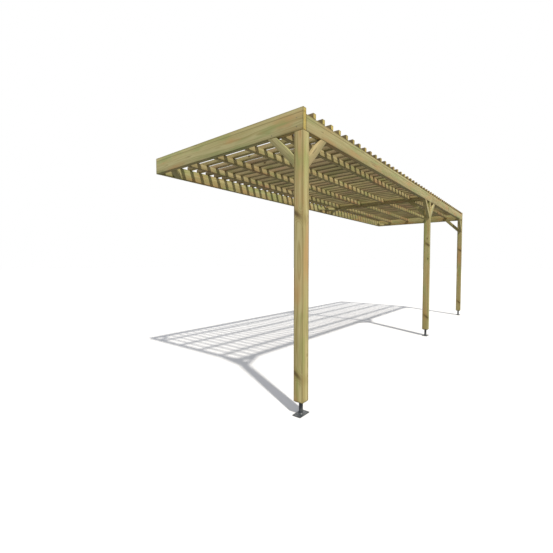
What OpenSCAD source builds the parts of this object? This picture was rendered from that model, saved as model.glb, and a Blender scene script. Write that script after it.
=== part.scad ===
// Lean-to pergola of planed softwood, fixed to a wall at the back and standing on three posts.
// X runs along the wall, Y points at the wall and Z is up, in millimetres.
// The origin is on the face that bears on the wall, at the middle of the length and of the ledger's height.

/* [Overall] */
// Length along the wall, over the two side beams
total_l = 6900; // [5000:10:9000]
// Depth from the front face to the wall
total_d = 2080; // [1700:10:3000]
// Height from the ground to the top of the slats
total_h = 2480; // [2000:10:3000]

/* [Posts] */
// Width and depth of a square post
post_w = 90; // [80:1:120]
// Distance from the left end to the centre of the middle post
mid_post_x = 3880; // [3000:10:4400]
// Clear height from the ground to the foot of a post
foot_h = 112; // [80:1:160]

/* [Post feet] */
// Length of the ground plate along the wall
foot_plate_l = 140; // [120:1:180]
// Width of the ground plate
foot_plate_w = 80; // [70:1:110]
// Thickness of the ground plate and of the plate under the post
foot_plate_t = 5; // [4:0.5:8]
// Diameter of the round stem
foot_stem_d = 34; // [26:1:42]
// Diameter of the collar where the stem meets the ground plate
foot_collar_d = 46; // [44:1:52]
// Height of that collar
foot_collar_h = 8; // [4:1:12]
// Side of the square plate under the post
foot_head_w = 78; // [60:1:80]
// Diameter of the anchor holes in the ground plate
anchor_hole_d = 11; // [8:0.5:12]
// Anchor hole spacing along the wall
anchor_pitch_l = 110; // [90:1:120]
// Anchor hole spacing towards the wall
anchor_pitch_w = 56; // [54:1:60]

/* [Frame timbers] */
// Thickness of the beams, purlins and braces
beam_t = 45; // [38:1:60]
// Height of the two side beams
side_h = 180; // [160:1:220]
// Distance from the middle post's centre to the slanted joint in the header, halfway up it
header_joint = 170; // [150:5:250]
// Height of the rafter over the middle post
rafter_h = 95; // [80:1:110]
// Height of a purlin
purlin_h = 65; // [50:1:90]
// Number of purlins between the header and the ledger
purlin_n = 4; // [2:1:6]

/* [Slats] */
// Width of a roof slat
slat_w = 42; // [30:1:60]
// Height of a roof slat
slat_h = 45; // [30:1:60]
// Number of roof slats
slat_n = 46; // [24:1:60]

/* [Braces] */
// Width of a brace across its length
brace_w = 65; // [50:1:90]
// Reach of a brace along each of the two timbers that it joins
brace_run = 275; // [220:5:400]
// Gap between a corner brace and the purlin beside it
brace_gap = 10; // [6:1:40]

/* [Hidden] */

timber = "#a59b6c";
timber_end = "#b9a95f";
steel = "#3b3d3e";

// Levels above the ground
beam_z = total_h - side_h;
slat_z = total_h - slat_h;
header_h = slat_z - beam_z;
rafter_z = slat_z - rafter_h;
purlin_z = slat_z - purlin_h;
origin_z = beam_z + header_h / 2;

// Places along the wall, from the left end
left_x = post_w / 2;
middle_x = mid_post_x;
right_x = total_l - post_w / 2;
inner_left = beam_t;
inner_right = total_l - beam_t;
joint_low = middle_x + header_joint - header_h / 2;
joint_high = middle_x + header_joint + header_h / 2;

// Places towards the wall, where the wall is at 0
front_y = -total_d;
header_back = front_y + beam_t;
post_back = front_y + post_w;
ledger_front = -beam_t;

// Purlins stand clear of the corner braces and share out what is left
purlin_gap = brace_run + brace_gap;
first_purlin_y = header_back + purlin_gap;
last_purlin_y = ledger_front - purlin_gap - beam_t;
purlin_pitch = (last_purlin_y - first_purlin_y) / (purlin_n - 1);

// Slats share the width between the side beams with equal gaps
slat_pitch = (inner_right - inner_left + slat_w) / (slat_n + 1);
slat_groups = 8;
brace_cut = brace_w * sqrt(2);
$fn = 48;

// Moves from the left end, the wall and the ground to the origin of the part
module placed() {
    translate([-total_l / 2, 0, -origin_z]) children();
}

// A straight timber between two corners
module stick(low, high) {
    placed() translate(low) cube(high - low);
}

// A length of the header between its corners seen from the front, given as X and height
module header(corners) {
    color(timber) placed() translate([0, header_back, 0]) rotate([90, 0, 0])
        linear_extrude(beam_t) polygon(corners);
}

// A post with its top cut away for the beams: seats lists the low and high plan corners of each cut
module post(x, seats) {
    color(timber) placed() difference() {
        translate([x - post_w / 2, front_y, foot_h]) cube([post_w, post_w, slat_z - foot_h]);
        for (seat = seats)
            translate([seat[0], seat[1], beam_z])
                cube([seat[2] - seat[0], seat[3] - seat[1], header_h + 1]);
    }
}

// A steel foot: ground plate with four anchor holes, collar, round stem and head plate
module foot(x) {
    head_z = foot_h - foot_plate_t;
    color(steel) placed() translate([x, front_y + post_w / 2, 0]) difference() {
        union() {
            translate([-foot_plate_l / 2, -foot_plate_w / 2, 0])
                cube([foot_plate_l, foot_plate_w, foot_plate_t]);
            cylinder(h = foot_plate_t + foot_collar_h, d = foot_collar_d);
            cylinder(h = foot_h, d = foot_stem_d);
            translate([-foot_head_w / 2, -foot_head_w / 2, head_z])
                cube([foot_head_w, foot_head_w, foot_plate_t]);
        }
        for (i = [-1, 1], j = [-1, 1])
            translate([i * anchor_pitch_l / 2, j * anchor_pitch_w / 2, -1])
                cylinder(h = foot_plate_t + 2, d = anchor_hole_d);
    }
}

// Outline of a brace at 45 degrees in the corner between two timbers that meet at the origin
module brace_outline() {
    polygon([[0, brace_run], [brace_run, 0], [brace_run - brace_cut, 0], [0, brace_run - brace_cut]]);
}

// A knee brace in the plane of the front: it drops from the header at x to a post face, to the left or right
module front_brace(x, side) {
    color(timber_end) placed() translate([x, front_y + beam_t, beam_z])
        mirror([side < 0 ? 1 : 0, 0, 0]) rotate([90, 0, 0]) mirror([0, 1, 0])
            linear_extrude(beam_t) brace_outline();
}

// A knee brace square to the wall, from the back of a post up to a beam whose underside is at top_z
module depth_brace(x, top_z) {
    color(timber_end) placed() translate([x, post_back, top_z])
        rotate([90, 0, 90]) mirror([0, 1, 0]) linear_extrude(beam_t) brace_outline();
}

// A brace lying flat in a corner of the ledger, from the timber face at x, to the left or right
module corner_brace(x, low_z, side) {
    color(timber_end) placed() translate([x, ledger_front, low_z])
        mirror([side < 0 ? 1 : 0, 0, 0]) mirror([0, 1, 0])
            linear_extrude(beam_t) brace_outline();
}

// One purlin row, counted from the front, in two lengths that butt against the middle rafter
module purlin_left(row) {
    y = first_purlin_y + (row - 1) * purlin_pitch;
    color(timber) stick([inner_left, y, purlin_z], [middle_x - beam_t / 2, y + beam_t, slat_z]);
}
module purlin_right(row) {
    y = first_purlin_y + (row - 1) * purlin_pitch;
    color(timber) stick([middle_x + beam_t / 2, y, purlin_z], [inner_right, y + beam_t, slat_z]);
}

// One of the groups of slats, as separate sticks with the roof's gaps between them
module slats(group) {
    first = floor((group - 1) * slat_n / slat_groups) + 1;
    last = floor(group * slat_n / slat_groups);
    color(timber) for (i = [first : last]) {
        right = inner_left + i * slat_pitch;
        stick([right - slat_w, front_y, slat_z], [right, 0, total_h]);
    }
}

module post_left() {
    post(left_x, [[-1, front_y - 1, beam_t, post_back + 1], [-1, front_y - 1, post_w + 1, header_back]]);
}
module post_middle() {
    post(middle_x, [[middle_x - post_w, front_y - 1, middle_x + post_w, header_back]]);
}
module post_right() {
    post(right_x, [[inner_right, front_y - 1, total_l + 1, post_back + 1],
                   [total_l - post_w - 1, front_y - 1, total_l + 1, header_back]]);
}
module foot_left() { foot(left_x); }
module foot_middle() { foot(middle_x); }
module foot_right() { foot(right_x); }

module side_beam_left() {
    color(timber) stick([0, front_y, beam_z], [inner_left, 0, total_h]);
}
module side_beam_right() {
    color(timber) stick([inner_right, front_y, beam_z], [total_l, 0, total_h]);
}
module header_left() {
    header([[inner_left, beam_z], [joint_low, beam_z], [joint_high, slat_z], [inner_left, slat_z]]);
}
module header_right() {
    header([[joint_low, beam_z], [inner_right, beam_z], [inner_right, slat_z], [joint_high, slat_z]]);
}
module ledger_left() {
    color(timber) stick([inner_left, ledger_front, beam_z], [middle_x, 0, slat_z]);
}
module ledger_right() {
    color(timber) stick([middle_x, ledger_front, beam_z], [inner_right, 0, slat_z]);
}
module middle_rafter() {
    color(timber) stick([middle_x - beam_t / 2, post_back, rafter_z],
                        [middle_x + beam_t / 2, ledger_front, slat_z]);
}

post_left();
post_middle();
post_right();
foot_left();
foot_middle();
foot_right();
side_beam_left();
side_beam_right();
header_left();
header_right();
ledger_left();
ledger_right();
middle_rafter();
purlin_left(1);  // purlin_1_left
purlin_right(1);  // purlin_1_right
purlin_left(2);  // purlin_2_left
purlin_right(2);  // purlin_2_right
purlin_left(3);  // purlin_3_left
purlin_right(3);  // purlin_3_right
purlin_left(4);  // purlin_4_left
purlin_right(4);  // purlin_4_right
depth_brace(0, beam_z);  // brace_left_side
front_brace(post_w, 1);  // brace_left_front
front_brace(middle_x - post_w / 2, -1);  // brace_middle_left
front_brace(middle_x + post_w / 2, 1);  // brace_middle_right
depth_brace(middle_x - beam_t / 2, rafter_z);  // brace_middle_rafter
front_brace(total_l - post_w, -1);  // brace_right_front
depth_brace(inner_right, beam_z);  // brace_right_side
corner_brace(inner_left, beam_z, 1);  // corner_brace_left
corner_brace(middle_x - beam_t / 2, rafter_z, -1);  // corner_brace_middle_left
corner_brace(middle_x + beam_t / 2, rafter_z, 1);  // corner_brace_middle_right
corner_brace(inner_right, beam_z, -1);  // corner_brace_right
slats(1);  // slats_1
slats(2);  // slats_2
slats(3);  // slats_3
slats(4);  // slats_4
slats(5);  // slats_5
slats(6);  // slats_6
slats(7);  // slats_7
slats(8);  // slats_8
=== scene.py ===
# Looks for a lean-to pergola of planed, pressure-treated pine on dark powder-coated steel feet.
import math
import random

import bmesh
import bpy
from mathutils import Matrix, Vector


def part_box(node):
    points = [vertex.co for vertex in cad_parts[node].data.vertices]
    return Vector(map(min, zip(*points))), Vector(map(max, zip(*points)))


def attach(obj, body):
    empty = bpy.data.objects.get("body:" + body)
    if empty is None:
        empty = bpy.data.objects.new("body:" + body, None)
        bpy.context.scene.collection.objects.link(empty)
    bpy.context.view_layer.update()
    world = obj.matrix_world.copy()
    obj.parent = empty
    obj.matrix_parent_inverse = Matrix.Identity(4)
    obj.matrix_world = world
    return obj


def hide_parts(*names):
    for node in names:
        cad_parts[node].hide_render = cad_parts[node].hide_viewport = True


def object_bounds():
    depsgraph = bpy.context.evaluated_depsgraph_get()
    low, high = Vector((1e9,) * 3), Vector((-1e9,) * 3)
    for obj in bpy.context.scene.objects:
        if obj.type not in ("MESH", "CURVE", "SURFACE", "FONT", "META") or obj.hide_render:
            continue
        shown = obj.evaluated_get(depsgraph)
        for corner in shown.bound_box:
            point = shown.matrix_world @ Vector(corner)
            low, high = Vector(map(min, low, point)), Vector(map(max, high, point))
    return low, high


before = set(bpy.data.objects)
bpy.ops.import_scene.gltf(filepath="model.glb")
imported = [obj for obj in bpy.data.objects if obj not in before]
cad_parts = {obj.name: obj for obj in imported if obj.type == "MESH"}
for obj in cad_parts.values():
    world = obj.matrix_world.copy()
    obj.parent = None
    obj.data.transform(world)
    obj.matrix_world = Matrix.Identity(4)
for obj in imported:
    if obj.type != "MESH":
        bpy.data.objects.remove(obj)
cad_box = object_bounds()

MM = 0.001

# Timber sizes that a node's box doesn't give
BRACE_WIDTH = 65 * MM
SLAT_WIDTH = 42 * MM
SLATS_IN_GROUP = (5, 6, 6, 6, 5, 6, 6, 6)

# Every timber is planed this much inside its box: joints then show as fine lines, and screw heads stay in it
PLANED = 0.4 * MM
INSET = Vector((PLANED,) * 3)

# How far edges are rounded or bevelled: along the grain, then round the sawn ends
POST_EASE = 4 * MM
POST_END_EASE = 0.8 * POST_EASE
BEAM_EASE = 3 * MM
SLAT_EASE = 2.5 * MM
END_EASE = 1.2 * MM

X, Y, Z = (Vector(axis) for axis in ((1, 0, 0), (0, 1, 0), (0, 0, 1)))
chance = random.Random(41)


# --- Camera, light and floor ---

left_end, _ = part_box("side_beam_left")
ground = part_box("foot_left")[0].z

# The viewer stands 2.2 m left of the pergola and 1.5 m in front of it, with the eye 1.24 m above the ground.
# TURN is from the length towards the wall and DIP is below level, in radians, and LENS is in millimetres
EYE = Vector((left_end.x - 2.1763, left_end.y - 1.467, ground + 1.2428))
TURN = 0.673
DIP = 0.038
LENS = 21.376

camera = bpy.data.objects.new("camera", bpy.data.cameras.new("camera"))
bpy.context.scene.collection.objects.link(camera)
bpy.context.scene.camera = camera
camera.data.sensor_width = 36
camera.data.lens = LENS
camera.data.clip_start, camera.data.clip_end = 0.05, 400
camera.location = EYE
gaze = Vector((math.cos(TURN) * math.cos(DIP), math.sin(TURN) * math.cos(DIP), -math.sin(DIP)))
camera.rotation_mode = "QUATERNION"
camera.rotation_quaternion = gaze.to_track_quat("-Z", "Y")

# The sun stands high in front and to the left, so the shadow falls back and to the right
SUN_TRAVEL = Vector((0.51, 1.0, -1.57))
SUN_STRENGTH = 3.7
SUN_SPREAD = math.radians(2)
SKY_STRENGTH = 0.62


def linear(code):
    """Turns an sRGB hex colour into the linear values that nodes take."""
    parts = [int(code[i:i + 2], 16) / 255 for i in (0, 2, 4)]
    return [p / 12.92 if p <= 0.04045 else ((p + 0.055) / 1.055) ** 2.4 for p in parts] + [1.0]


def add_node(tree, kind, settings=None, inputs=None):
    """Adds a node with its settings. An input is a value, a socket to link, or a node whose first output is
    linked."""
    node = tree.nodes.new(kind)
    for key, value in (settings or {}).items():
        setattr(node, key, value)
    for key, value in (inputs or {}).items():
        if isinstance(value, bpy.types.Node):
            value = value.outputs[0]
        if isinstance(value, bpy.types.NodeSocket):
            tree.links.new(value, node.inputs[key])
        else:
            node.inputs[key].default_value = value
    return node


def new_material(name):
    material = bpy.data.materials.new(name)
    material.use_nodes = True
    material.node_tree.nodes.clear()
    return material, material.node_tree


sun = bpy.data.objects.new("sun", bpy.data.lights.new("sun", "SUN"))
bpy.context.scene.collection.objects.link(sun)
sun.data.energy = SUN_STRENGTH
sun.data.angle = SUN_SPREAD
sun.data.color = linear("fffaf0")[:3]
sun.rotation_mode = "QUATERNION"
sun.rotation_quaternion = SUN_TRAVEL.to_track_quat("-Z", "Y")

# The sky lights the object evenly, and shows as plain white to the camera and in gloss
world = bpy.data.worlds.new("studio")
bpy.context.scene.world = world
world.use_nodes = True
sky = world.node_tree
sky.nodes.clear()
rays = add_node(sky, "ShaderNodeLightPath")
seen = add_node(sky, "ShaderNodeMath", {"operation": "MAXIMUM"},
                {0: rays.outputs["Is Camera Ray"], 1: rays.outputs["Is Glossy Ray"]})
seen = add_node(sky, "ShaderNodeMath", {"operation": "MAXIMUM"},
                {0: seen, 1: rays.outputs["Is Transmission Ray"]})
lit = add_node(sky, "ShaderNodeBackground", None, {"Color": linear("f4f7ff"), "Strength": SKY_STRENGTH})
white = add_node(sky, "ShaderNodeBackground", None, {"Color": linear("ffffff"), "Strength": 1.0})
shown = add_node(sky, "ShaderNodeMixShader", None, {"Fac": seen, 1: lit, 2: white})
add_node(sky, "ShaderNodeOutputWorld", None, {"Surface": shown})

# The floor is 160 m square and lies just under the feet, so that no two faces are in one plane
FLOOR_SIZE = 160
FLOOR_GAP = 0.3 * MM
bm = bmesh.new()
bmesh.ops.create_grid(bm, x_segments=1, y_segments=1, size=FLOOR_SIZE / 2)
bmesh.ops.translate(bm, verts=bm.verts, vec=(0, 0, ground - FLOOR_GAP))
floor_mesh = bpy.data.meshes.new("floor")
bm.to_mesh(floor_mesh)
bm.free()
floor = bpy.data.objects.new("floor", floor_mesh)
bpy.context.scene.collection.objects.link(floor)
# It shows nearly white to the camera, and throws grey light up at the timber, as a terrace does
floor_paint, tree = new_material("white studio floor")
rays = add_node(tree, "ShaderNodeLightPath")
to_camera = add_node(tree, "ShaderNodeBsdfDiffuse", None, {"Color": linear("e4e4e4")})
to_object = add_node(tree, "ShaderNodeBsdfDiffuse", None, {"Color": linear("7c7c79")})
shown = add_node(tree, "ShaderNodeMixShader", None,
                 {"Fac": rays.outputs["Is Camera Ray"], 1: to_object, 2: to_camera})
add_node(tree, "ShaderNodeOutputMaterial", None, {"Surface": shown})
floor.data.materials.append(floor_paint)


# --- Materials ---

# What each stick tells its material: see dress()
LAYERS = ("grain", "stick", "cut", "place", "size", "mark", "knot", "knot_two")

# What lies over the clean wood on every timber
END_GRAIN = "c8ae4c"
ARRIS_DARKENING = "6b5f34"
LATE_LINE = "6f6234"
KNOT_HALO = "8a7740"
KNOT_CORE = "574727"
# Painted shade on the marked sides of the slats
PAINTED_SIDE_SHADE = "5f4f36"
OPEN_CRACK = "43381f"


def timber_material(name, early, late, heart, copper, ring, knots, arris_width):
    """Planed pine, pressure-treated with a copper salt: pale early wood and darker late wood in rings round a
    pith, fine fibre streaks, pinkish heart wood, green where more salt was taken up, brown knots with turned
    grain round them, drying checks, and end grain that drank more and weathers yellower. Low gloss, as bare
    planed wood has. The pattern is a solid one on each stick's own grain attribute, in metres: X along the
    grain, YZ from the pith. early, late, heart and copper are colours, ring is a year's width, knots is the
    share of cells that hold a small knot, and arris_width is how far the wood darkens in from an edge. Sides
    that a stick marks in its cut attribute take painted shade."""
    material, tree = new_material(name)

    grain, stick, cut, place, size, mark, knot, knot_two = (
        add_node(tree, "ShaderNodeAttribute", {"attribute_name": layer}).outputs["Vector"]
        for layer in LAYERS)
    tone, hue, pink = add_node(tree, "ShaderNodeSeparateXYZ", None, {0: stick}).outputs
    # The second part of cut marks the sides that take painted shade
    sawn_end, shaded_side, _ = add_node(tree, "ShaderNodeSeparateXYZ", None, {0: cut}).outputs

    # The pith wanders by up to 25 mm either way over some 0.8 m, which draws long arches on flat-sawn faces
    wander = add_node(tree, "ShaderNodeVectorMath", {"operation": "MULTIPLY"}, {0: grain, 1: (1.3, 5, 5)})
    wander = add_node(tree, "ShaderNodeTexNoise", None, {"Vector": wander, "Scale": 1.0, "Detail": 2.0})
    wander = add_node(tree, "ShaderNodeVectorMath", {"operation": "SUBTRACT"},
                      {0: wander.outputs["Color"], 1: (0.5, 0.5, 0.5)})
    wander = add_node(tree, "ShaderNodeVectorMath", {"operation": "MULTIPLY_ADD"},
                      {0: wander, 1: (0, 0.05, 0.05), 2: grain})

    # Small knots: at most one in a cell of 170 x 105 x 105 mm, 17 to 27 mm across the grain, with the grain
    # turned round them. Large knots: up to two, each where one of the stick's own knot attributes is short
    cells = add_node(tree, "ShaderNodeVectorMath", {"operation": "MULTIPLY"},
                     {0: grain, 1: (1 / 0.17, 1 / 0.105, 1 / 0.105)})
    cells = add_node(tree, "ShaderNodeTexVoronoi", None, {"Vector": cells, "Scale": 1.0})
    kept = add_node(tree, "ShaderNodeSeparateColor", None, {0: cells.outputs["Color"]})
    kept = add_node(tree, "ShaderNodeMath", {"operation": "LESS_THAN"}, {0: kept.outputs[0], 1: knots})
    large = add_node(tree, "ShaderNodeVectorMath", {"operation": "LENGTH"}, {0: knot}).outputs["Value"]
    lesser = add_node(tree, "ShaderNodeVectorMath", {"operation": "LENGTH"}, {0: knot_two}).outputs["Value"]
    large = add_node(tree, "ShaderNodeMath", {"operation": "MINIMUM"}, {0: large, 1: lesser})
    # The halo of turned grain, then the dark core: small ones in shares of a cell, large ones in millimetres
    round_knot = []
    for near, far, near_mm, far_mm, most in ((0.06, 0.30, 8, 48, 0.9), (0.08, 0.13, 3, 22, 0.8)):
        small = add_node(tree, "ShaderNodeMapRange", {"interpolation_type": "SMOOTHSTEP"},
                         {0: cells.outputs["Distance"], 1: far, 2: near, 3: 0.0, 4: 1.0})
        small = add_node(tree, "ShaderNodeMath", {"operation": "MULTIPLY"}, {0: small, 1: kept})
        big = add_node(tree, "ShaderNodeMapRange", {"interpolation_type": "SMOOTHSTEP"},
                       {0: large, 1: far_mm * MM, 2: near_mm * MM, 3: 0.0, 4: most})
        round_knot.append(add_node(tree, "ShaderNodeMath", {"operation": "MAXIMUM"}, {0: small, 1: big}))
    halo, core = round_knot

    # Rings are drawn about twice as wide as pine's 4 to 5 mm, so that they still show from across a garden.
    # A knot's halo swells them outwards by up to 22 mm
    radius = add_node(tree, "ShaderNodeVectorMath", {"operation": "MULTIPLY"}, {0: wander, 1: (0, 1, 1)})
    radius = add_node(tree, "ShaderNodeVectorMath", {"operation": "LENGTH"}, {0: radius}).outputs["Value"]
    radius = add_node(tree, "ShaderNodeMath", {"operation": "MULTIPLY_ADD"}, {0: halo, 1: 0.022, 2: radius})
    year = add_node(tree, "ShaderNodeMath", {"operation": "DIVIDE"}, {0: radius, 1: ring})
    year = add_node(tree, "ShaderNodeMath", {"operation": "FRACT"}, {0: year})
    rings = add_node(tree, "ShaderNodeValToRGB", None, {0: year})
    ramp = rings.color_ramp
    ramp.interpolation = "EASE"
    ramp.elements[0].position, ramp.elements[0].color = 0.0, (0, 0, 0, 1)
    ramp.elements[1].position, ramp.elements[1].color = 1.0, (0, 0, 0, 1)
    for stop_place, level in ((0.5, 0.15), (0.86, 1.0)):
        stop = ramp.elements.new(stop_place)
        stop.color = (level, level, level, 1)

    # Fibre streaks some 300 mm long and 7 mm wide, with finer ones between; broad bands 30 mm wide and over a
    # metre long; heart wood in patches of 450 x 110 mm and copper green in patches of 350 x 80 mm; and hair
    # cracks at the few peaks of a pattern of 400 x 14 mm
    patterns = []
    for base, stretch, shift, detail, low, high, most in (
            (grain, (3, 150, 150), 0.0, 4.0, 0.30, 0.70, 1.0),
            (wander, (0.7, 32, 32), 0.0, 1.5, 0.33, 0.67, 1.0),
            (grain, (2.2, 9, 9), 3.7, 3.0, 0.46, 0.68, 0.75),
            (grain, (2.8, 12, 12), 9.1, 3.0, 0.48, 0.70, 0.65),
            (wander, (2.4, 70, 70), 21.0, 1.0, 0.725, 0.76, 0.6)):
        pattern = add_node(tree, "ShaderNodeVectorMath", {"operation": "MULTIPLY_ADD"},
                           {0: base, 1: stretch, 2: (shift,) * 3})
        pattern = add_node(tree, "ShaderNodeTexNoise", None,
                           {"Vector": pattern, "Scale": 1.0, "Detail": detail})
        patterns.append(add_node(tree, "ShaderNodeMapRange", {"interpolation_type": "SMOOTHSTEP"},
                                 {0: pattern.outputs["Fac"], 1: low, 2: high, 3: 0.0, 4: most}))
    fibre, band, heart_patch, copper_patch, crack = patterns

    # How far the wood goes from its early to its late colour: rings most, then bands, then fibres
    dark = add_node(tree, "ShaderNodeMath", {"operation": "MULTIPLY"}, {0: rings.outputs["Color"], 1: 0.46})
    dark = add_node(tree, "ShaderNodeMath", {"operation": "MULTIPLY_ADD"}, {0: fibre, 1: 0.25, 2: dark})
    dark = add_node(tree, "ShaderNodeMath", {"operation": "MULTIPLY_ADD", "use_clamp": True},
                    {0: band, 1: 0.42, 2: dark})
    heart_patch = add_node(tree, "ShaderNodeMath", {"operation": "ADD", "use_clamp": True},
                           {0: heart_patch, 1: pink})

    # Distance to the nearest edge of the stick, for the wood's darkening towards each arris. The darkening
    # reaches up to 4 mm further in where a band is, so that its border wavers
    inside = add_node(tree, "ShaderNodeVectorMath", {"operation": "ABSOLUTE"}, {0: place})
    inside = add_node(tree, "ShaderNodeVectorMath", {"operation": "SUBTRACT"}, {0: size, 1: inside})
    to_end, to_side, to_lid = add_node(tree, "ShaderNodeSeparateXYZ", None, {0: inside}).outputs
    nearer = add_node(tree, "ShaderNodeMath", {"operation": "MINIMUM"}, {0: to_side, 1: to_lid})
    further = add_node(tree, "ShaderNodeMath", {"operation": "MAXIMUM"}, {0: to_side, 1: to_lid})
    further = add_node(tree, "ShaderNodeMath", {"operation": "MINIMUM"}, {0: further, 1: to_end})
    edge = add_node(tree, "ShaderNodeMath", {"operation": "MAXIMUM"}, {0: nearer, 1: further})
    edge = add_node(tree, "ShaderNodeMath", {"operation": "MULTIPLY_ADD"}, {0: band, 1: -4 * MM, 2: edge})
    arris = add_node(tree, "ShaderNodeMapRange", {"interpolation_type": "SMOOTHSTEP"},
                     {0: edge, 1: arris_width, 2: 0.0, 3: 0.0, 4: 0.55})

    # A long dark late-wood line under the top edge of a beam, which fades out 7 mm to each side of its
    # middle, and a slanting spike knot or stain, which fades out 22 mm to each side
    line, spike, _ = add_node(tree, "ShaderNodeSeparateXYZ", None, {0: mark}).outputs
    lines = []
    for off, wide, most in ((line, 7 * MM, 0.6), (spike, 22 * MM, 0.75)):
        off = add_node(tree, "ShaderNodeMath", {"operation": "ABSOLUTE"}, {0: off})
        off = add_node(tree, "ShaderNodeMapRange", {"interpolation_type": "SMOOTHSTEP"},
                       {0: off, 1: wide, 2: 0.1 * wide, 3: 0.0, 4: most})
        lines.append(off)
    lines = add_node(tree, "ShaderNodeMath", {"operation": "MAXIMUM"}, {0: lines[0], 1: lines[1]})

    # Radial shakes open in a sawn end as it dries: there are narrow ones all round the pith
    _, from_y, from_z = add_node(tree, "ShaderNodeSeparateXYZ", None, {0: wander}).outputs
    turn = add_node(tree, "ShaderNodeMath", {"operation": "ARCTAN2"}, {0: from_z, 1: from_y})
    shake = add_node(tree, "ShaderNodeCombineXYZ", None, {0: turn, 1: radius})
    shake = add_node(tree, "ShaderNodeVectorMath", {"operation": "MULTIPLY"}, {0: shake, 1: (16, 14, 0)})
    shake = add_node(tree, "ShaderNodeTexNoise", None, {"Vector": shake, "Scale": 1.0, "Detail": 1.0})
    shake = add_node(tree, "ShaderNodeMapRange", {"interpolation_type": "SMOOTHSTEP"},
                     {0: shake.outputs["Fac"], 1: 0.66, 2: 0.70, 3: 0.0, 4: 0.8})
    shake = add_node(tree, "ShaderNodeMath", {"operation": "MULTIPLY"}, {0: shake, 1: sawn_end})
    crack = add_node(tree, "ShaderNodeMath", {"operation": "MAXIMUM"}, {0: crack, 1: shake})

    # Resin tints a knot's halo, and a sawn end takes most of its own colour
    amber = add_node(tree, "ShaderNodeMath", {"operation": "MULTIPLY"}, {0: halo, 1: 0.5})
    end = add_node(tree, "ShaderNodeMath", {"operation": "MULTIPLY"}, {0: sawn_end, 1: 0.62})
    # Painted shade on the sides that a stick marks, the slats' sides: strongest within 60 mm of an end,
    # lighter from 160 mm on
    side = add_node(tree, "ShaderNodeMapRange", None, {0: to_end, 1: 0.06, 2: 0.16, 3: 0.78, 4: 0.2})
    side = add_node(tree, "ShaderNodeMath", {"operation": "MULTIPLY"}, {0: side, 1: shaded_side})
    wood = add_node(tree, "ShaderNodeMix", {"data_type": "RGBA"},
                    {0: dark, 6: linear(early), 7: linear(late)})
    for amount, code in ((heart_patch, heart), (copper_patch, copper), (end, END_GRAIN), (arris, ARRIS_DARKENING),
                         (lines, LATE_LINE), (amber, KNOT_HALO), (core, KNOT_CORE), (side, PAINTED_SIDE_SHADE),
                         (crack, OPEN_CRACK)):
        wood = add_node(tree, "ShaderNodeMix", {"data_type": "RGBA"},
                        {0: amount, 6: wood.outputs[2], 7: linear(code)})
    wood = add_node(tree, "ShaderNodeHueSaturation", None,
                    {"Hue": hue, "Value": tone, "Color": wood.outputs[2]})

    # Late wood and fibres stand a little proud, cracks are sunk, and dark late wood is the glossier
    height = add_node(tree, "ShaderNodeMath", {"operation": "MULTIPLY_ADD"},
                      {0: fibre, 1: 0.6, 2: rings.outputs["Color"]})
    height = add_node(tree, "ShaderNodeMath", {"operation": "MULTIPLY_ADD"}, {0: crack, 1: -3.0, 2: height})
    bump = add_node(tree, "ShaderNodeBump", None, {"Strength": 0.5, "Distance": 0.4 * MM, "Height": height})
    rough = add_node(tree, "ShaderNodeMapRange", None, {0: dark, 1: 0.0, 2: 1.0, 3: 0.74, 4: 0.58})
    shader = add_node(tree, "ShaderNodeBsdfPrincipled", None,
                      {"Base Color": wood, "Roughness": rough.outputs[0], "Normal": bump, "IOR": 1.5,
                       "Specular IOR Level": 0.35})
    add_node(tree, "ShaderNodeOutputMaterial", None, {"Surface": shader})
    return material


def dark_steel_material():
    """Powder coat on welded steel, a baked polyester: dark grey, satin, with a fine orange-peel texture."""
    material, tree = new_material("powder-coated steel")
    place = add_node(tree, "ShaderNodeTexCoord").outputs["Object"]
    # Orange peel of about 1.5 mm; garden dust lies in patches of 30 mm
    pimple, patch = 1.5 * MM, 30 * MM
    peel = add_node(tree, "ShaderNodeTexNoise", None, {"Vector": place, "Scale": 1 / pimple, "Detail": 2.0})
    dust = add_node(tree, "ShaderNodeTexNoise", None, {"Vector": place, "Scale": 1 / patch, "Detail": 4.0})
    dust = add_node(tree, "ShaderNodeMapRange", None,
                    {0: dust.outputs["Fac"], 1: 0.4, 2: 0.7, 3: 0.0, 4: 0.8})
    coat = add_node(tree, "ShaderNodeMix", {"data_type": "RGBA"},
                    {0: dust, 6: linear("3b3f42"), 7: linear("5c5e60")})
    rough = add_node(tree, "ShaderNodeMapRange", None, {0: dust, 1: 0.0, 2: 1.0, 3: 0.36, 4: 0.6})
    bump = add_node(tree, "ShaderNodeBump", None,
                    {"Strength": 0.25, "Distance": 0.1 * MM, "Height": peel.outputs["Fac"]})
    shader = add_node(tree, "ShaderNodeBsdfPrincipled", None,
                      {"Base Color": coat.outputs[2], "Roughness": rough.outputs[0], "Normal": bump})
    add_node(tree, "ShaderNodeOutputMaterial", None, {"Surface": shader})
    return material


# Each slot's sticks, their early, late, heart and copper colours, ring in mm, share of knots and arris in mm
TIMBERS = {}
for slot, sticks, colours, ring, knots, arris_width in (
        ("post_timber", "posts", ("c3b985", "93854e", "b8935f", "8f9a58"), 9, 0.1, 15),
        ("beam_timber", "beams", ("c6bd8b", "9b8d57", "bd9764", "93a062"), 9, 0.05, 11),
        ("purlin_timber", "purlins", ("c3b887", "978a57", "b58f66", "8d965c"), 8, 0.3, 8),
        ("slat_timber", "slats", ("c6bb88", "99895a", "ab9170", "8f9258"), 8, 0.3, 7),
        ("brace_timber", "braces", ("cbc38f", "a0935a", "c0ab78", "9ca065"), 9, 0.1, 8)):
    TIMBERS[slot] = timber_material(f"treated pine, {sticks}", *colours, ring * MM, knots, arris_width * MM)
DARK_STEEL = dark_steel_material()


# --- Timbers ---

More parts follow.
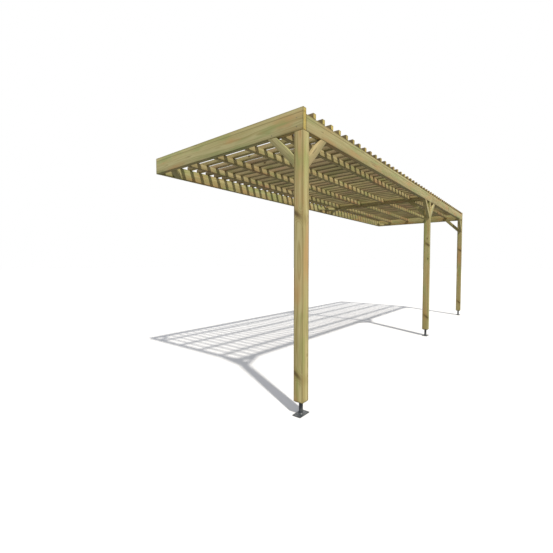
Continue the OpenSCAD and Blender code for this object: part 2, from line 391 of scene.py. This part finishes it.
# A spike knot in a post slants down towards the front. The way from its middle is shrunk by these shares,
# which draws it three and a half times as long as it is wide
SPIKE_DEPTH = 0.3
SPIKE_LENGTH = 0.23
SPIKE_WIDTH = 0.8
SLANT = math.radians(38)
SPIKE_ALONG = Vector((0, -math.cos(SLANT), -math.sin(SLANT)))
SPIKE_ACROSS = Vector((0, -math.sin(SLANT), math.cos(SLANT)))

# A stick without a mark says that it is 1 m off
FAR_OFF = 1

# How much of a face's normal lies along the way that it faces, for any face and for a sawn or slanted end,
# and an end's least area when its rim is bevelled and when it is marked as sawn, in square metres
FACING = 0.9
END_FACING = 0.6
END_FACE = 1e-4
SAWN_FACE = 1e-3


def from_spike_knot(way):
    """Shrinks the way from a knot's middle along the knot, so that a sphere of it draws the spike."""
    long, wide = way.dot(SPIKE_ALONG), way.dot(SPIKE_ACROSS)
    return Vector((way.x * SPIKE_DEPTH, long * SPIKE_LENGTH, wide * SPIKE_WIDTH))


def dress(bm, along, across, up, centre, tone=(0.94, 1.05), pink=0.0, line=None, spike=None,
          knots=(None, None)):
    """Gives one stick what its material reads. along, across and up are its own axes. grain: place in the
    trunk from its pith. stick: tone, hue and added pink. cut: 1 on sawn ends, 1 on sides with painted shade.
    place: from the stick's middle. size: half its size. mark: how far off its dark line and spike knot a spot
    is. knot, knot_two: the way from each of its large knots, where it has them."""
    points = [bm.verts.layers.float_vector.new(layer) for layer in LAYERS if layer != "cut"]
    grain, stick, place, size, mark, *large = points
    cut = bm.faces.layers.float_vector.new("cut")
    # The pith lies 20 to 80 mm away from the stick's middle, and each stick comes from its own stretch of
    # trunk. A hue of 0.5 leaves the colour as it is
    turn = chance.uniform(0, 2 * math.pi)
    away = chance.uniform(20, 80) * MM
    stretch = chance.randrange(-40, 40) + chance.uniform(-1, 1)
    pith = Vector((stretch, away * math.cos(turn), away * math.sin(turn)))
    own = Vector((chance.uniform(*tone), chance.uniform(0.493, 0.505), chance.uniform(0, pink)))
    spots = [Vector((v.co - centre).dot(axis) for axis in (along, across, up)) for v in bm.verts]
    half = Vector(max(abs(spot[i]) for spot in spots) for i in range(3))
    for v, spot in zip(bm.verts, spots):
        v[grain] = spot + pith
        v[stick] = own
        v[place] = spot
        v[size] = half
        v[mark] = Vector((line(v.co) if line else FAR_OFF, spike(v.co) if spike else FAR_OFF, 0))
        for layer, knot in zip(large, knots):
            v[layer] = from_spike_knot(v.co - knot) if knot else X * FAR_OFF
    for f in bm.faces:
        f.normal_update()
        sawn = abs(f.normal.dot(along)) > END_FACING and f.calc_area() > SAWN_FACE
        f[cut] = Vector((1 if sawn else 0, 0, 0))


def grown_verts(grown):
    """The vertices that an extrusion made."""
    return [g for g in grown["geom"] if isinstance(g, bmesh.types.BMVert)]


def join(parts, into):
    """Adds a finished part's mesh to a piece's mesh."""
    step = bpy.data.meshes.new("step")
    parts.to_mesh(step)
    parts.free()
    into.from_mesh(step)
    bpy.data.meshes.remove(step)


def ease_edges(bm, along, ease, end_ease=END_EASE):
    """Rounds the edges that run along the grain, then takes the arris off the sawn ends."""
    long_edges = [e for e in bm.edges if abs((e.verts[1].co - e.verts[0].co).normalized().dot(along)) > 0.99]
    bmesh.ops.bevel(bm, geom=long_edges, offset=ease, offset_type="OFFSET", segments=3, profile=0.5,
                    affect="EDGES", material=-1, clamp_overlap=True)
    for f in bm.faces:
        f.normal_update()
    ends = {f for f in bm.faces if abs(f.normal.dot(along)) > END_FACING and f.calc_area() > END_FACE}
    rims = [e for e in bm.edges if sum(f in ends for f in e.link_faces) == 1]
    bmesh.ops.bevel(bm, geom=rims, offset=end_ease, offset_type="OFFSET", segments=1, profile=0.5,
                    affect="EDGES", material=-1, clamp_overlap=True)


def plank(outline, thick):
    """A mesh of one plank: its outline on one face, and the way to the other face."""
    bm = bmesh.new()
    face = bm.faces.new([bm.verts.new(corner) for corner in outline])
    grown = bmesh.ops.extrude_face_region(bm, geom=[face])
    bmesh.ops.translate(bm, vec=thick, verts=grown_verts(grown))
    bmesh.ops.recalc_face_normals(bm, faces=bm.faces)
    return bm


def add_stick(into, low, high, along, ease, shaded_sides=False, **looks):
    """Adds a straight square-cut stick between two corners to a piece's mesh."""
    low, high = low + INSET, high - INSET
    bm = bmesh.new()
    bmesh.ops.create_cube(bm, size=1)
    bmesh.ops.scale(bm, vec=high - low, verts=bm.verts)
    bmesh.ops.translate(bm, vec=(low + high) / 2, verts=bm.verts)
    ease_edges(bm, along, ease)
    across, up = (axis for axis in (X, Y, Z) if axis != along)
    dress(bm, along, across, up, (low + high) / 2, **looks)
    # Its sides across the grain are marked to take painted shade
    if shaded_sides:
        cut = bm.faces.layers.float_vector["cut"]
        for f in bm.faces:
            f[cut].y = 1 if abs(f.normal.dot(across)) > FACING else 0
    join(bm, into)


def finish_piece(name, bm, material, slot, *nodes):
    """Makes an object of a mesh, gives it its finish and hides the nodes that it stands for, if any."""
    mesh = bpy.data.meshes.new(name)
    bm.to_mesh(mesh)
    bm.free()
    mesh.materials.append(material)
    mesh.shade_smooth()
    mesh.set_sharp_from_angle(angle=math.radians(35))
    piece = bpy.data.objects.new(name, mesh)
    bpy.context.scene.collection.objects.link(piece)
    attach(piece, "root")
    if nodes:
        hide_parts(*nodes)
    return piece


def timber_piece(node, slot, bm):
    return finish_piece(f"{node}_timber", bm, TIMBERS[slot], slot, node)


# A dark late-wood line runs this far under the top of both side beams and of the header's left length
SIDE_BEAM_LINE = 37 * MM
HEADER_LINE = 30 * MM
line_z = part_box("side_beam_left")[1].z - SIDE_BEAM_LINE
header_line_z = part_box("header_left")[1].z - HEADER_LINE
beam_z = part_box("header_left")[0].z


def off_line(spot):
    return spot.z - line_z


def off_header_line(spot):
    return spot.z - header_line_z


for node in ("side_beam_left", "side_beam_right"):
    bm = bmesh.new()
    add_stick(bm, *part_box(node), Y, BEAM_EASE, line=off_line)
    timber_piece(node, "beam_timber", bm)

for node in ("ledger_left", "ledger_right"):
    bm = bmesh.new()
    add_stick(bm, *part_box(node), X, BEAM_EASE)
    timber_piece(node, "beam_timber", bm)

# A spike knot slants across the right length of the header, this far from the middle post's left face
SPIKE_FROM_POST = 1425 * MM
spike_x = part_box("post_middle")[0].x + SPIKE_FROM_POST
joint_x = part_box("header_right")[0].x

# The stain on the left length's end is two and a half times as wide as a spike knot
STAIN_SHRINK = 0.4


def off_joint(spot):
    """The salt-darkened end of the left length, at the slanted joint."""
    return ((spot.x - joint_x) - (spot.z - beam_z)) * STAIN_SHRINK


def off_spike(spot):
    """The knot leans to the right by as much as it rises, as the joint does."""
    return (spot.x - spike_x) - (spot.z - beam_z)


# The header's two lengths meet in a slanted joint as high as it is long
left_low, left_high = (corner + INSET * way for corner, way in zip(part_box("header_left"), (1, -1)))
right_low, right_high = (corner + INSET * way for corner, way in zip(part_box("header_right"), (1, -1)))
rise = left_high.z - left_low.z
for node, ends in (("header_left", (left_low.x, left_high.x - rise, left_high.x, left_low.x)),
                   ("header_right", (right_low.x, right_high.x, right_high.x, right_low.x + rise))):
    heights = (left_low.z, left_low.z, left_high.z, left_high.z)
    corners = [Vector((x, left_low.y, z)) for x, z in zip(ends, heights)]
    bm = plank(corners, Y * (left_high.y - left_low.y))
    ease_edges(bm, X, BEAM_EASE)
    if node == "header_left":
        dress(bm, X, Z, Y, (left_low + left_high) / 2, tone=(0.86, 0.88), line=off_header_line,
              spike=off_joint)
    else:
        dress(bm, X, Z, Y, (right_low + right_high) / 2, tone=(0.88, 0.9), pink=0.2, spike=off_spike)
    timber_piece(node, "beam_timber", bm)

bm = bmesh.new()
add_stick(bm, *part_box("middle_rafter"), Y, BEAM_EASE)
timber_piece("middle_rafter", "purlin_timber", bm)

for row in range(1, 5):
    for side in ("left", "right"):
        node = f"purlin_{row}_{side}"
        bm = bmesh.new()
        add_stick(bm, *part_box(node), X, BEAM_EASE, tone=(0.92, 1.08), pink=0.3)
        timber_piece(node, "purlin_timber", bm)


def slat_edges(group, count):
    """Where the left edge of each slat in a group's box lies."""
    low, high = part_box(f"slats_{group}")
    pitch = (high.x - low.x - SLAT_WIDTH) / (count - 1)
    return [low.x + i * pitch for i in range(count)]


for group, count in enumerate(SLATS_IN_GROUP, 1):
    node = f"slats_{group}"
    low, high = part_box(node)
    bm = bmesh.new()
    for x in slat_edges(group, count):
        # Each slat's sides take painted shade
        add_stick(bm, Vector((x, low.y, low.z)), Vector((x + SLAT_WIDTH, high.y, high.z)), Y, SLAT_EASE,
                  shaded_sides=True, tone=(0.74, 1.16), pink=0.3)
    timber_piece(node, "slat_timber", bm)


# --- Posts ---

header_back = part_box("header_left")[1].y
beam_inner = {"left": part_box("side_beam_left")[1].x, "right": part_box("side_beam_right")[0].x}
front = cad_box[0].y

# Each post's large knots, on its left face: how far from the front and above the ground
POST_KNOTS = {"left": ((68 * MM, 1.65), (70 * MM, 0.345)), "middle": ((14 * MM, 1.57), (16 * MM, 0.33)),
              "right": ((18 * MM, 1.57), (14 * MM, 0.31))}
POST_TONES = {"left": (1.14, 1.16), "middle": (1.0, 1.02), "right": (0.97, 0.99)}


def add_post(side):
    """A post whose top is notched, so that the header and the side beam sit on it and against its upstand."""
    node = f"post_{side}"
    low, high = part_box(node)
    plan_low = low + INSET
    top = high.z - PLANED
    high = high - Vector((PLANED, PLANED, 0))
    shoulder = beam_z - PLANED
    bm = bmesh.new()
    bmesh.ops.create_cube(bm, size=1)
    size = Vector((high.x - plan_low.x, high.y - plan_low.y, shoulder - plan_low.z))
    bmesh.ops.scale(bm, vec=size, verts=bm.verts)
    bmesh.ops.translate(bm, vec=plan_low + size / 2, verts=bm.verts)
    # The top is cut along the header's back and the side beam's inner face, and what is behind is drawn up
    inward = -1 if side == "right" else 1
    cuts = [((0, header_back + PLANED, 0), Y)]
    if side in beam_inner:
        cuts.append(((beam_inner[side] + inward * PLANED, 0, 0), X))
    for place, normal in cuts:
        lid = [f for f in bm.faces if f.normal.z > FACING and f.calc_center_median().z > shoulder - MM]
        geom = lid + list({e for f in lid for e in f.edges}) + list({v for f in lid for v in f.verts})
        bmesh.ops.bisect_plane(bm, geom=geom, dist=1e-6, plane_co=place, plane_no=normal)
        bm.normal_update()
    seat = []
    for f in bm.faces:
        c = f.calc_center_median()
        behind = f.normal.z > FACING and c.y > header_back
        if behind and (side not in beam_inner or (c.x - beam_inner[side]) * inward > 0):
            seat.append(f)
    grown = bmesh.ops.extrude_face_region(bm, geom=seat)
    bmesh.ops.delete(bm, geom=seat, context="FACES_ONLY")
    bmesh.ops.translate(bm, vec=(0, 0, top - shoulder), verts=grown_verts(grown))
    bm.normal_update()
    ease_edges(bm, Z, POST_EASE, POST_END_EASE)
    knots = [Vector((low.x, front + y, ground + z)) for y, z in POST_KNOTS[side]]
    dress(bm, Z, X, Y, (plan_low + high) / 2, tone=POST_TONES[side], knots=knots)
    timber_piece(node, "post_timber", bm)


for side in ("left", "middle", "right"):
    add_post(side)


# --- Braces ---

def add_brace(node, corner, out, down, flat):
    """A brace at 45 degrees: corner picks where two timbers meet, and out and down lead away along them."""
    low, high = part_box(node)
    low, high = low + INSET, high - INSET
    meet = Vector([(low, high)[pick][i] for i, pick in enumerate(corner)])
    run = abs((high - low).dot(out))
    reach = run - BRACE_WIDTH * math.sqrt(2)
    outline = [meet + down * run, meet + out * run, meet + out * reach, meet + down * reach]
    bm = plank(outline, flat * (high - low).dot(flat))
    along = (out - down).normalized()
    ease_edges(bm, along, BEAM_EASE)
    dress(bm, along, (out + down).normalized(), flat, meet + (out + down) * run / 2, tone=(0.84, 0.95))
    timber_piece(node, "brace_timber", bm)


# In the plane of the front, under the header: corner is the low or high end of the box along X, Y and Z
for node, corner, out in (("brace_left_front", (0, 0, 1), X), ("brace_middle_left", (1, 0, 1), -X),
                          ("brace_middle_right", (0, 0, 1), X), ("brace_right_front", (1, 0, 1), -X)):
    add_brace(node, corner, out, -Z, Y)
# Square to the wall, behind each post
for node in ("brace_left_side", "brace_middle_rafter", "brace_right_side"):
    add_brace(node, (0, 0, 1), Y, -Z, X)
# Flat, in the corners of the ledger
for node, corner, out in (("corner_brace_left", (0, 1, 0), X), ("corner_brace_middle_left", (1, 1, 0), -X),
                          ("corner_brace_middle_right", (0, 1, 0), X), ("corner_brace_right", (1, 1, 0), -X)):
    add_brace(node, corner, out, -Y, Z)


# --- Post feet ---

PLATE = 5 * MM
PLATE_CORNER = 6 * MM
PLATE_EASE = 0.6 * MM
HEAD_SIDE = 78 * MM
COLLAR_HEIGHT = 8 * MM

# Radii, and where the anchor holes lie from the middle of the ground plate
STEM = 17 * MM
COLLAR = 23 * MM
HOLE = 5.5 * MM
HOLES = [(x * 55 * MM, y * 28 * MM) for x in (-1, 1) for y in (-1, 1)]

# Each screw in the head plate has a six-sided head that narrows a little downwards
HEAD_SCREWS = [(x * 28 * MM, y * 28 * MM) for x in (-1, 1) for y in (-1, 1)]
HEX_LOW = 5 * MM
HEX_HIGH = 5.6 * MM
HEX_TALL = 3.6 * MM
HEX_SUNK = 0.2 * MM


def rim_edges(bm, angle=math.radians(60)):
    bm.normal_update()
    return [e for e in bm.edges if len(e.link_faces) == 2 and e.calc_face_angle() > angle]


def steel_plate(centre, length, width, holes):
    """A flat plate with rounded corners and drilled holes, its arrises taken off."""
    bm = bmesh.new()
    bmesh.ops.create_grid(bm, x_segments=1, y_segments=1, size=0.5)
    bmesh.ops.scale(bm, vec=(length, width, 1), verts=bm.verts)
    bmesh.ops.bevel(bm, geom=bm.verts[:], offset=PLATE_CORNER, offset_type="OFFSET", segments=5, profile=0.5,
                    affect="VERTICES", material=-1)
    bmesh.ops.delete(bm, geom=bm.faces[:], context="FACES_ONLY")
    for x, y in holes:
        bmesh.ops.create_circle(bm, segments=20, radius=HOLE, matrix=Matrix.Translation((x, y, 0)))
    if holes:
        bmesh.ops.triangle_fill(bm, use_beauty=True, edges=bm.edges[:])
    else:
        bmesh.ops.contextual_create(bm, geom=bm.edges[:])
    grown = bmesh.ops.extrude_face_region(bm, geom=bm.faces[:])
    bmesh.ops.translate(bm, vec=(0, 0, PLATE), verts=grown_verts(grown))
    bmesh.ops.recalc_face_normals(bm, faces=bm.faces)
    bmesh.ops.bevel(bm, geom=rim_edges(bm), offset=PLATE_EASE, offset_type="OFFSET", segments=2, profile=0.5,
                    affect="EDGES", material=-1, clamp_overlap=True)
    bmesh.ops.translate(bm, vec=centre, verts=bm.verts)
    return bm


def turned(profile, centre, steps=48):
    """A closed round solid spun from a profile of (radius, height) that starts and ends on its axis."""
    bm = bmesh.new()
    points = [bm.verts.new((radius, 0, height)) for radius, height in profile]
    edges = [bm.edges.new(pair) for pair in zip(points, points[1:])]
    bmesh.ops.spin(bm, geom=points + edges, cent=(0, 0, 0), axis=(0, 0, 1), angle=2 * math.pi, steps=steps,
                   use_merge=True)
    bmesh.ops.remove_doubles(bm, verts=bm.verts, dist=1e-6)
    bmesh.ops.recalc_face_normals(bm, faces=bm.faces)
    bmesh.ops.translate(bm, vec=centre, verts=bm.verts)
    return bm


def add_foot(side):
    """A ground plate, a stem with a weld bead at each end, and a plate with four screws under the post."""
    node = f"foot_{side}"
    low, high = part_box(node)
    middle = (low + high) / 2
    base = Vector((middle.x, middle.y, low.z))
    foot = bmesh.new()
    join(steel_plate(base, high.x - low.x, high.y - low.y, HOLES), foot)
    tall = high.z - low.z
    head = tall - PLATE
    join(steel_plate(base + Vector((0, 0, head)), HEAD_SIDE, HEAD_SIDE, []), foot)
    # The stem reaches 1 mm into both plates; the lower bead is the collar, and the upper one is 4 mm
    profile = [(0, PLATE - MM), (COLLAR - 0.2 * MM, PLATE - MM), (COLLAR - 0.2 * MM, PLATE + MM),
               (COLLAR - 1.6 * MM, PLATE + 3.2 * MM), (COLLAR - 4 * MM, PLATE + 5.4 * MM),
               (STEM + 0.6 * MM, PLATE + COLLAR_HEIGHT - 0.8 * MM), (STEM, PLATE + COLLAR_HEIGHT),
               (STEM, head - 5 * MM), (STEM + 0.8 * MM, head - 4 * MM), (STEM + 3 * MM, head - 1.8 * MM),
               (STEM + 4 * MM, head - 0.6 * MM), (STEM + 4 * MM, head + MM), (0, head + MM)]
    join(turned(profile, base), foot)
    for x, y in HEAD_SCREWS:
        bm = bmesh.new()
        place = Matrix.Translation(base + Vector((x, y, head + HEX_SUNK - HEX_TALL / 2)))
        bmesh.ops.create_cone(bm, cap_ends=True, segments=6, radius1=HEX_LOW, radius2=HEX_HIGH,
                              depth=HEX_TALL, matrix=place)
        join(bm, foot)
    finish_piece(f"{node}_steel", foot, DARK_STEEL, "dark_steel", node)


for side in ("left", "middle", "right"):
    add_foot(side)


# --- Screws ---

# A screw head's radius and height
SCREW = 4.5 * MM
SCREW_TALL = 1.3 * MM

# A screw's top lies this far inside the timber's box, so it stands 0.3 mm proud of the planed timber
SCREW_TOP = 0.1 * MM

# The rim, the ring round the star, which is drawn in at every other corner, and the star's wall and depth
RIM = 0.5 * MM
STAR_RING = 1.6 * MM
STAR_DRAWN_IN = 0.72
STAR_WALL = 0.2 * MM
STAR_DEPTH = 1.0 * MM

# How far from the front and above the beam's underside: two into the post's upstand and one over the brace
SIDE_BEAM_SCREWS = ((64 * MM, 36 * MM), (64 * MM, 107 * MM), (321 * MM, 23 * MM))


def add_screws(name, spots, out):
    """Screw heads, 9 mm across and 0.3 mm proud of the timber, each with a six-pointed star recess."""
    screws = bmesh.new()
    turn = out.to_track_quat("Z", "Y").to_matrix().to_4x4()
    for spot in spots:
        bm = bmesh.new()
        bmesh.ops.create_circle(bm, cap_ends=True, segments=12, radius=SCREW)
        face = bm.faces[:]
        grown = bmesh.ops.extrude_face_region(bm, geom=face)
        bmesh.ops.translate(bm, vec=(0, 0, SCREW_TALL), verts=grown_verts(grown))
        bmesh.ops.recalc_face_normals(bm, faces=bm.faces)
        lid = max(bm.faces, key=lambda f: f.calc_center_median().z)
        bmesh.ops.inset_individual(bm, faces=[lid], thickness=RIM, depth=0.0)
        bmesh.ops.inset_individual(bm, faces=[lid], thickness=STAR_RING, depth=0.0)
        bmesh.ops.scale(bm, vec=(STAR_DRAWN_IN, STAR_DRAWN_IN, 1), verts=list(lid.verts)[::2])
        bmesh.ops.inset_individual(bm, faces=[lid], thickness=STAR_WALL, depth=-STAR_DEPTH)
        place = Matrix.Translation(spot - out * (SCREW_TALL + SCREW_TOP))
        bmesh.ops.transform(bm, matrix=place @ turn, verts=bm.verts)
        join(bm, screws)
    finish_piece(name, screws, DARK_STEEL, "dark_steel")


for side, out in (("left", -X), ("right", X)):
    low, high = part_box(f"side_beam_{side}")
    outer = low.x if side == "left" else high.x
    spots = [Vector((outer, front + y, beam_z + z)) for y, z in SIDE_BEAM_SCREWS]
    add_screws(f"side_beam_screws_{side}", spots, out)

# Down through every slat into the header, the purlins and the ledger
rests = ["header_left"] + [f"purlin_{row}_left" for row in range(1, 5)] + ["ledger_left"]
rests = [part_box(node) for node in rests]
spots = []
for group, count in enumerate(SLATS_IN_GROUP, 1):
    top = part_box(f"slats_{group}")[1].z
    spots += [Vector((x + SLAT_WIDTH / 2, (rest[0].y + rest[1].y) / 2, top))
              for x in slat_edges(group, count) for rest in rests]
add_screws("slat_screws", spots, Z)

view = bpy.context.scene.view_settings
view.view_transform = "Standard"
